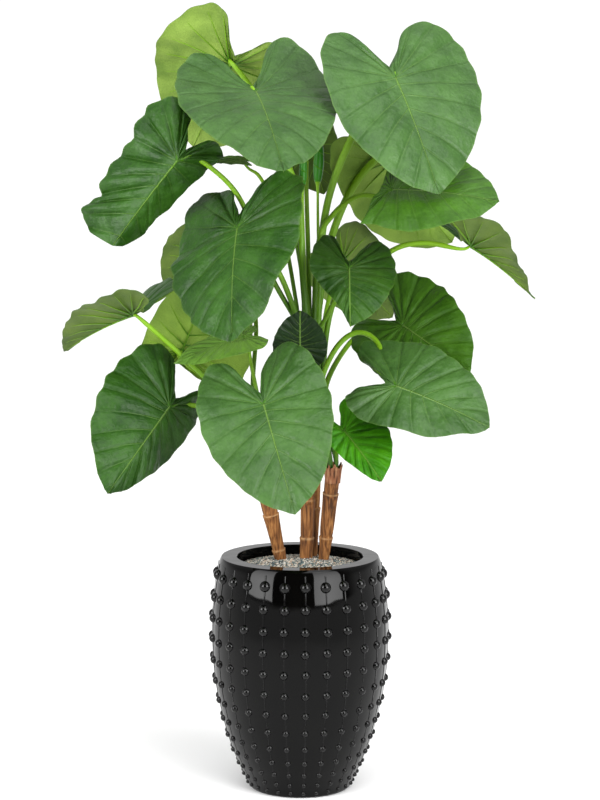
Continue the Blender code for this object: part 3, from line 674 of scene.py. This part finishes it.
# Upper faces: darker and lighter colour, shine, and how deep the pleats and the wrinkles are pressed.
# Satin is the cloth's own green. The others are lighter and darker copies of it that paint light and
# shade leaf by leaf: pale paints the lamps' sheen, deep and shade paint shade, shade the darkest on a
# curled leaf low under the others, strip and lime are lightened as painted light, and fresh is a more
# saturated green that is also lightened as painted light
UPPER_TONES_AND_PAINTED_LIGHT = {
    "pale": ((0.018, 0.055, 0.008, 1), (0.036, 0.093, 0.016, 1), 0.26, 0.5, 2.1),
    "satin": ((0.007, 0.033, 0.0016, 1), (0.0195, 0.067, 0.005, 1), 0.19, 1.1, 1.9),
    "deep": ((0.008, 0.036, 0.002, 1), (0.021, 0.066, 0.004, 1), 0.20, 1.0, 1.7),
    "fresh": ((0.020, 0.125, 0.001, 1), (0.056, 0.250, 0.003, 1), 0.16, 1.0, 1.2),
    "lime": ((0.018, 0.062, 0.002, 1), (0.038, 0.110, 0.006, 1), 0.22, 1.0, 1.4),
    "strip": ((0.050, 0.120, 0.012, 1), (0.085, 0.180, 0.022, 1), 0.20, 1.0, 1.0),
    "shade": ((0.002, 0.010, 0.001, 1), (0.006, 0.022, 0.003, 1), 0.15, 1.0, 1.0),
}
# Undersides: darker and lighter colour. Olive is the cloth's own; pale and warm are lightened copies
# that paint light: pale paints the light that shines through a leaf lit from behind, and warm lightens
# undersides that lie in shade as painted light
UNDER_TONES_AND_PAINTED_LIGHT = {
    "pale": ((0.080, 0.145, 0.014, 1), (0.155, 0.240, 0.034, 1)),
    "warm": ((0.090, 0.170, 0.014, 1), (0.165, 0.270, 0.032, 1)),
    "olive": ((0.043, 0.086, 0.007, 1), (0.084, 0.138, 0.016, 1)),
}
# Leaves that are not satin above or not olive below, which carry the painted light and shade
TOPS_WITH_PAINTED_LIGHT = {2: "pale", 3: "pale", 11: "pale", 14: "pale", 15: "fresh", 17: "lime", 9: "strip", 8: "deep",
        12: "deep", 13: "lime", 19: "pale", 20: "deep", 21: "shade", 22: "deep"}
BACKS_WITH_PAINTED_LIGHT = {1: "pale", 7: "warm", 16: "warm", 21: "pale"}


def bent(length, degrees):
    """How far a strip of a length reaches forward and drops if it bends by degrees over one length."""
    bend = math.radians(degrees) or 1e-4
    return math.sin(bend * length) / bend, (math.cos(bend * length) - 1) / bend, bend * length


def blade_local(leaf, row, across):
    """A point of a blade whose joint is the origin and whose length is about 1: side, tip, up.

    Rows run out along the veins, from 0 at the notch to 12 at the tip; across goes from -1 at the
    left margin to 1 at the right one, as seen from above with the tip pointing away.
    """
    side = "r" if across > 0 else "l"
    sign = 1 if across > 0 else -1
    a = abs(across)
    root = spline(VEIN_ROOTS, row)
    reach = spline([p[0] for p in HALF_OUTLINE], row)
    edge = spline([p[1] for p in HALF_OUTLINE], row)
    back = min(max(-edge / 0.5, 0), 1)
    reach *= leaf.get("width", 1) * leaf.get("width_" + side, 1)
    reach *= 1 - leaf.get("pinch_" + side, 0) * max(edge, 0)
    reach *= 1 + (leaf.get("open", 1) - 1) * back
    reach *= 1 + leaf.get("scallop", 0) * (math.cos(2 * math.pi * row) - 1) / 2
    reach *= 1 + (leaf.get("gape_" + side, 1) - 1) * min(max(2.2 - row, 0), 1)
    reach += leaf.get("blunt_" + side, 0) * max(1 - ((row - 11.3) / 2.6) ** 2, 0)
    if edge < NOTCH:
        edge = NOTCH + (edge - NOTCH) * leaf.get("lobes", 1) * leaf.get("lobes_" + side, 1)
    s = a * reach
    t = root + a * (edge - root) + leaf.get("shear", 0) * sign * s
    t -= 0.10 * a * (1 - a) * min(root * 4, 1) * (1 - root)
    fold = math.radians(leaf.get("fold_" + side, 0))
    x = sign * s * math.cos(fold)
    z = s * math.sin(fold)
    phase = leaf.get("phase", 0) + (0 if sign > 0 else 0.37)
    wave = math.sin(2 * math.pi * (row / BLADE_ROWS * leaf.get("waves", 3) + phase))
    calm = min((BLADE_ROWS - row) / 2, 1) * min(row / 1.5, 1)
    z += leaf.get("wave", 0.02) * a ** 1.6 * wave * calm
    forward, drop, turn = bent(t, leaf.get("droop", 15) if t >= 0 else leaf.get("nod", 0))
    return Vector((x, forward + z * math.sin(turn), drop + z * math.cos(turn)))


def blade_frame(leaf):
    """The blade's length and a function that places its local points in the room."""
    joint = Vector(leaf["joint"])
    chord = Vector(leaf["tip"]) - joint
    tip = blade_local(leaf, BLADE_ROWS, 0)
    length = chord.length / math.hypot(tip.y, tip.z)
    along = chord.normalized()
    up = Vector(leaf["faces"])
    up = (up - along * up.dot(along)).normalized()
    right = along.cross(up)
    lean = math.atan2(tip.z, tip.y)
    ahead = along * math.cos(lean) - up * math.sin(lean)
    above = up * math.cos(lean) + along * math.sin(lean)

    def place(p):
        return joint + (right * p.x + ahead * p.y + above * p.z) * length

    return place, along, up


def blade_point(number, leaf, row, across):
    """A point of the blade once it is puffed up between its veins, wrinkled and curled."""
    p = blade_local(leaf, row, across)
    a = abs(across)
    puff = abs(math.cos(math.pi * row)) ** 0.7 * min(a * 3, 1) * (1.1 - 0.5 * a)
    lift = CRUMPLED.get(number, PUFF) * puff
    here = Vector((p.x * 3.0, p.y * 3.0, 7.3 * number))
    lift += 0.016 * noise.noise(here) * min(a * 2, 1)
    lift += 0.008 * noise.noise(here * 3.1) * min(a * 3, 1)
    lift -= CURL * a ** 5 * (1 + noise.noise(here * 1.7)) * min((BLADE_ROWS - row) / 1.5, 1)
    return Vector((p.x, p.y, p.z + lift))


def leaf_top(name, dark, light, shine, pleats, wrinkles):
    """The upper face: satin green, paler along the veins and the margin, with painted shade beside the
    veins.
    """
    top = Finish(name, {"Specular IOR Level": shine})
    chart = top.uv("chart")
    row = top.axis(chart, "X") * BLADE_ROWS
    across = top.axis(chart, "Y")
    flat = top.uv("flat")
    side = abs(top.axis(flat, "X"))
    ahead = top.axis(flat, "Y")
    off_vein = abs(row.fraction() - 0.5) * top.attribute("pitch")
    vein = (1 - off_vein / (0.0021 - 0.0014 * across)).clamped() * (1.15 - across).clamped()
    rib = (1 - side / (0.0030 - 0.0070 * ahead).at_least(0.0009)).clamped()
    rib = rib * (ahead * 400 + 1).clamped()
    # The groove beside each vein: it presses the relief in, and its painted shade darkens the colour
    crease_and_painted_shade = (1 - off_vein / 0.007).clamped() * (across * 2).clamped()
    mottle = top.noise(13, 4)
    speck = top.noise(140, 3)
    green = top.ramp(mottle * 0.72 + speck * 0.28, [(0.36, dark), (0.62, light)])
    # Painted shade: the green is darkened along the grooves beside the veins
    shaded = top.blend(crease_and_painted_shade * 0.28, green, dark)
    veined = top.blend((vein * 0.34).at_least(rib * 0.85), shaded, VEIN_YELLOW)
    margin = ((across - 0.975) * 30).clamped()
    along_veins = top.vector("MULTIPLY", chart, (40, 2.4, 0))
    here = top.vector("ADD", along_veins, top.place((5, 5, 5)))
    pleat = top.node("ShaderNodeTexNoise", {}, {"Vector": here, "Scale": 1.0, "Detail": 2.0}, "Fac")
    wrinkle = (top.noise(19, 2) + top.noise(48, 3) * 0.7) * wrinkles + top.noise(420, 2) * 0.10
    relief = wrinkle + pleat * (across * 4).clamped() * pleats + vein * 0.4 + rib * 0.8 - crease_and_painted_shade * 0.7
    return top.wear(
        base_color=top.blend(margin * 0.3, veined, VEIN_YELLOW),
        roughness=0.36 + 0.16 * mottle,
        normal=top.bump(relief, 0.0028))


def leaf_under(name, dark, light):
    """The underside: matt and yellower, with a fine grain and its net of small veins."""
    under = Finish(name, {"Specular IOR Level": 0.3})
    mottle = under.noise(16, 4)
    grain = under.noise(260, 3)
    net = under.node("ShaderNodeTexVoronoi", {"feature": "DISTANCE_TO_EDGE"},
                     {"Vector": under.place(), "Scale": 95.0}, "Distance")
    lines = (1 - net * 9).clamped()
    green = under.ramp(mottle * 0.82 + grain * 0.18, [(0.36, dark), (0.64, light)])
    return under.wear(
        base_color=under.blend(lines * 0.07, green, light),
        roughness=0.62 + 0.14 * grain,
        normal=under.bump(lines * 0.25 + grain * 0.15 + mottle, 0.0010))


upper_tone_and_light_finishes = {name: leaf_top("leaf_" + name, *colors) for name, colors in UPPER_TONES_AND_PAINTED_LIGHT.items()}
under_tone_and_light_finishes = {name: leaf_under("underside_" + name, *colors) for name, colors in UNDER_TONES_AND_PAINTED_LIGHT.items()}
stem = Finish("moulded_stalk", {"Specular IOR Level": 0.24})
rise = stem.axis(stem.uv("along"), "Y")
lines_up = stem.noise(30, 4, stretch=(9, 9, 1))
stem.wear(
    # Painted shade: a stalk is darker green towards its foot, low among the leaves, and bright
    # yellow-green at the top. The ribs under the blades take the same change along their length
    base_color=stem.ramp(rise * 0.85 + lines_up * 0.3 - 0.1, [(0.05, STALK_SHADED), (0.75, STALK_HIGH)]),
    roughness=0.42 + 0.12 * lines_up,
    normal=stem.bump(lines_up, 0.0008))

for number, leaf in LEAVES.items():
    leaf = dict(leaf, scallop=SCALLOPED.get(number, DENT))
    place, along, up = blade_frame(leaf)
    length = (place(Vector((0, 1, 0))) - place(Vector((0, 0, 0)))).length
    rows = BLADE_ROWS * ROW_STEPS
    bm = bmesh.new()
    chart = bm.loops.layers.uv.new("chart")
    flat = bm.loops.layers.uv.new("flat")
    pitch = bm.verts.layers.float.new("pitch")
    bmesh.ops.create_grid(bm, x_segments=rows, y_segments=COLUMN_STEPS, size=0.5)
    for face in bm.faces:
        for loop in face.loops:
            row = (loop.vert.co.x + 0.5) * BLADE_ROWS
            across = loop.vert.co.y * 2
            p = blade_local(leaf, row, across)
            loop[chart].uv = (row / BLADE_ROWS, abs(across))
            loop[flat].uv = (p.x * length, p.y * length)
    for v in bm.verts:
        row = (v.co.x + 0.5) * BLADE_ROWS
        across = v.co.y * 2
        one = blade_local(leaf, max(row - 0.2, 0), across)
        two = blade_local(leaf, min(row + 0.2, BLADE_ROWS), across)
        v[pitch] = (two - one).length * length / 0.4
        v.co = place(blade_point(number, leaf, row, across))
    bmesh.ops.remove_doubles(bm, verts=bm.verts, dist=2e-5)
    bmesh.ops.reverse_faces(bm, faces=bm.faces)
    # The upper face chosen here carries that leaf's painted light or shade
    top = upper_tone_and_light_finishes[TOPS_WITH_PAINTED_LIGHT.get(number, "satin")]
    under = under_tone_and_light_finishes[BACKS_WITH_PAINTED_LIGHT.get(number, "olive")]
    name = f"leaf_{number:02d}"
    piece = finished("taro_" + name, bm, [top, under, stem.material], [name])
    shell = piece.modifiers.new("thickness", "SOLIDIFY")
    shell.thickness = BLADE_THICKNESS
    shell.offset = 0
    shell.material_offset = 1
    bpy.context.view_layer.update()
    solid = bpy.data.meshes.new_from_object(piece.evaluated_get(bpy.context.evaluated_depsgraph_get()))
    piece.modifiers.clear()
    bm = bmesh.new()
    pour(bm, solid)

    def under_blade(row, across, depth):
        """A point this far below the blade, at a row and a place across it."""
        here = place(blade_point(number, leaf, row, across))
        ahead_row = min(row + 0.05, BLADE_ROWS)
        toward = place(blade_point(number, leaf, ahead_row, across)) - here
        if toward.length < 1e-6:
            toward = along
        inward = place(blade_point(number, leaf, row, across * 0.95 + 0.02)) - here
        normal = toward.cross(inward)
        normal = normal.normalized() if normal.length > 1e-12 else up
        if normal.dot(up) < 0:
            normal = -normal
        return here - normal * depth

    midrib = []
    midrib_radii = []
    for i in range(MIDRIB_STEPS + 1):
        row = 5 + 6.8 * i / MIDRIB_STEPS
        radius = MIDRIB_RADIUS * (1 - MIDRIB_TAPER * i / MIDRIB_STEPS)
        midrib.append(place(blade_point(number, leaf, row, 0)) - up * (RIB_DROP + 0.8 * radius))
        midrib_radii.append(radius)
    add_tube(bm, midrib, midrib_radii, MIDRIB_SIDES, material_index=2)
    for row, start in RIBS.items():
        for side in (-1, 1):
            reach = [RIB_REACH * i / RIB_STEPS for i in range(RIB_STEPS + 1)]
            thick = [start * (1 - 0.95 * a) for a in reach]
            line = [under_blade(row, side * max(a, 0.01), RIB_DROP + 0.9 * r)
                    for a, r in zip(reach, thick)]
            add_tube(bm, line, thick, RIB_SIDES, material_index=2)

    trunk = TRUNKS[leaf["trunk"]]
    turn = math.radians(leaf["slot"])
    foot = Vector(trunk["crown"]) + Vector((math.cos(turn), math.sin(turn), 0)) * trunk["ring"]
    joint = Vector(leaf["joint"])
    points = [foot, foot + Vector((0, 0, 0.03))] + [Vector(p) for p in leaf["via"]]
    points.append(joint - up * STALK_BEND - along * STALK_BEND)
    points.append(joint - up * STALK_DOWN - along * STALK_BACK)
    path = smooth_path(points, STALK_POINTS)
    top_radius = leaf.get("stalk_top", STALK_TAPER * leaf["stalk"])
    radii = []
    last = STALK_POINTS - 1
    for i in range(STALK_POINTS):
        radius = leaf["stalk"] + (top_radius - leaf["stalk"]) * i / last
        radius *= 1 + STALK_SWELL * math.sin(math.pi * i / last)
        end = max(0, (i - last + STALK_END_POINTS) / STALK_END_POINTS)
        radii.append(radius * (1 - STALK_END_TAPER * end))
    add_tube(bm, path, radii, STALK_SIDES, material_index=2)
    bm.to_mesh(piece.data)
    bm.free()
    piece.data.shade_smooth()
    piece.data.set_sharp_from_angle(angle=math.radians(LEAF_SMOOTH_BELOW))


# Young leaves
# Two leaves that are still rolled up, on slim stems in the middle of the plant: a smooth pointed
# roll with the free margin winding round it. Moulded in one with the stem.
# Each young leaf: the trunk it stands on, and points up its stem and roll with the radius at each
SPINDLES = {
    1: dict(trunk=3, points=[((0.046, 0.075, 1.090), 0.004), ((0.042, 0.080, 1.280), 0.0035),
                             ((0.041, 0.080, 1.385), 0.0035), ((0.041, 0.080, 1.410), 0.009),
                             ((0.043, 0.080, 1.445), 0.012), ((0.045, 0.080, 1.480), 0.009),
                             ((0.046, 0.080, 1.505), 0.003), ((0.046, 0.080, 1.530), 0.0015)]),
    2: dict(trunk=2, points=[((0.014, 0.020, 1.120), 0.004), ((0.008, 0.025, 1.280), 0.0035),
                             ((0.006, 0.025, 1.380), 0.0035), ((0.006, 0.025, 1.405), 0.008),
                             ((0.007, 0.025, 1.430), 0.009), ((0.008, 0.025, 1.460), 0.007),
                             ((0.009, 0.025, 1.480), 0.0015)]),
}
STEM_FOOT_RADIUS = 0.004
ROLL_TIP_RADIUS = 0.0006
ROLL_SIDES = 16
ROLL_STEPS = 120
ROLL_GREEN = (0.016, 0.125, 0.002, 1)

roll = Finish("rolled_leaf", {"Specular IOR Level": 0.2})
roll_map = roll.uv("along")
roll_rise = roll.axis(roll_map, "Y")
roll_round = roll.axis(roll_map, "X")
winding = abs((roll_round + roll_rise * 9).fraction() - 0.5)
edge_line = (1 - winding * 14).clamped()
leafy = ((roll_rise - 0.5) * 30).clamped()
roll.wear(
    base_color=roll.blend(leafy, STALK_HIGH, roll.blend(edge_line * 0.3, ROLL_GREEN, STALK_HIGH)),
    roughness=0.34 + 0.1 * roll.noise(40, 2),
    normal=roll.bump(edge_line * leafy, 0.0012))

for number, spindle in SPINDLES.items():
    foot = Vector(TRUNKS[spindle["trunk"]]["crown"])
    points = [foot, foot + Vector((0, 0, 0.03))] + [Vector(p) for p, r in spindle["points"]]
    radii = [STEM_FOOT_RADIUS, STEM_FOOT_RADIUS] + [r for p, r in spindle["points"]]
    last = len(points) - 1
    steps = [last * i / ROLL_STEPS for i in range(ROLL_STEPS + 1)]
    path = [spline(points, at) for at in steps]
    around = [max(spline(radii, at), ROLL_TIP_RADIUS) for at in steps]
    bm = bmesh.new()
    add_tube(bm, path, around, ROLL_SIDES)
    finished(f"rolled_leaf_{number}", bm, [roll.material], [f"young_leaf_{number}"],
             smooth_below=60)


# Floor and light
# A plain white studio floor that runs on into a white room, two tall soft boxes in front, which the
# glaze mirrors, and a broad soft light from the ceiling.
FLOOR_REACH = 300
FLOOR_PALE = (0.88, 0.88, 0.88, 1)
ROOM_DARK = (0.02, 0.02, 0.02, 1)
ROOM_STRENGTH = 2.0
BOX_AIM = (0, 0, 2.0)
BOX_HEIGHT = 2.8
BOX_RADIANCE = 4.5
BOX_SPREAD = 110
CEILING_STRENGTH = 2.2
CEILING_BREADTH = 50
CEILING_TURN = (24, 10)

bm = bmesh.new()
bmesh.ops.create_grid(bm, x_segments=1, y_segments=1, size=FLOOR_REACH)
ground = as_mesh("floor", bm)
floor = bpy.data.objects.new("floor", ground)
bpy.context.scene.collection.objects.link(floor)
plain = Finish("plain_floor", {"Base Color": FLOOR_PALE, "Roughness": 0.9, "Specular IOR Level": 0.1})
ground.materials.append(plain.material)


def soft_box(name, place, width):
    """A rectangular lamp with an even white face, turned to the plant."""
    lamp = bpy.data.lights.new(name, "AREA")
    lamp.shape = "RECTANGLE"
    lamp.size = width
    lamp.size_y = BOX_HEIGHT
    lamp.energy = BOX_RADIANCE * math.pi * width * BOX_HEIGHT
    lamp.spread = math.radians(BOX_SPREAD)
    box = bpy.data.objects.new(name, lamp)
    box.location = place
    box.rotation_mode = "QUATERNION"
    box.rotation_quaternion = (Vector(BOX_AIM) - Vector(place)).to_track_quat("-Z", "Y")
    bpy.context.scene.collection.objects.link(box)


soft_box("soft_box_left", (-2.4, -1.8, 2.0), 1.85)
soft_box("soft_box_right", (1.85, -2.36, 2.0), 2.1)
ceiling = bpy.data.lights.new("ceiling_light", "SUN")
ceiling.energy = CEILING_STRENGTH
ceiling.angle = math.radians(CEILING_BREADTH)
overhead = bpy.data.objects.new("ceiling_light", ceiling)
overhead.rotation_euler = (math.radians(CEILING_TURN[0]), math.radians(CEILING_TURN[1]), 0)
bpy.context.scene.collection.objects.link(overhead)

# A white studio all round and overhead, with the dark end of the room behind the camera
world = bpy.data.worlds.new("studio")
world.use_nodes = True
bpy.context.scene.world = world
air = world.node_tree
spot = air.nodes.new("ShaderNodeTexCoord")
split = air.nodes.new("ShaderNodeSeparateXYZ")
air.links.new(spot.outputs["Generated"], split.inputs[0])


def grade(axis, stops):
    """Grey shades along one axis of the room, from -1 to 1 made 0 to 1."""
    reach = air.nodes.new("ShaderNodeMapRange")
    reach.inputs["From Min"].default_value = -1
    air.links.new(split.outputs[axis], reach.inputs["Value"])
    ramp = air.nodes.new("ShaderNodeValToRGB")
    elements = ramp.color_ramp.elements
    while len(elements) < len(stops):
        elements.new(0.5)
    for element, (position, shade) in zip(elements, stops):
        element.position = (position + 1) / 2
        element.color = (shade, shade, shade, 1)
    air.links.new(reach.outputs["Result"], ramp.inputs[0])
    return ramp.outputs["Color"]


white = grade("Z", [(-0.1, 0.54), (0.10, 0.54), (0.30, 0.28), (0.85, 0.45)])
dark_height = grade("Z", [(0.015, 0), (0.04, 1), (0.70, 1), (0.84, 0)])
dark_side = grade("Y", [(-0.40, 1), (-0.10, 0)])
both = air.nodes.new("ShaderNodeMath")
both.operation = "MULTIPLY"
air.links.new(dark_height, both.inputs[0])
air.links.new(dark_side, both.inputs[1])
room = air.nodes.new("ShaderNodeMix")
room.data_type = "RGBA"
room.inputs[7].default_value = ROOM_DARK
air.links.new(both.outputs[0], room.inputs[0])
air.links.new(white, room.inputs[6])
sky = air.nodes["Background"]
air.links.new(room.outputs[2], sky.inputs["Color"])
sky.inputs["Strength"].default_value = ROOM_STRENGTH


# Camera
# It stands in front of the plant, a little above the middle of the leaves, and looks down at it
# through a long lens.
CAMERA_PLACE = (0, -5.25, 1.52)
CAMERA_DIP = 6.67
LENS_LENGTH = 103.5
SENSOR_HEIGHT = 36

lens = bpy.data.cameras.new("camera")
camera = bpy.data.objects.new("camera", lens)
camera.location = CAMERA_PLACE
camera.rotation_euler = (math.radians(90 - CAMERA_DIP), 0, 0)
lens.sensor_fit = "VERTICAL"
lens.sensor_height = SENSOR_HEIGHT
lens.lens = LENS_LENGTH
bpy.context.scene.collection.objects.link(camera)
bpy.context.scene.camera = camera
bpy.context.scene.view_settings.view_transform = "Standard"
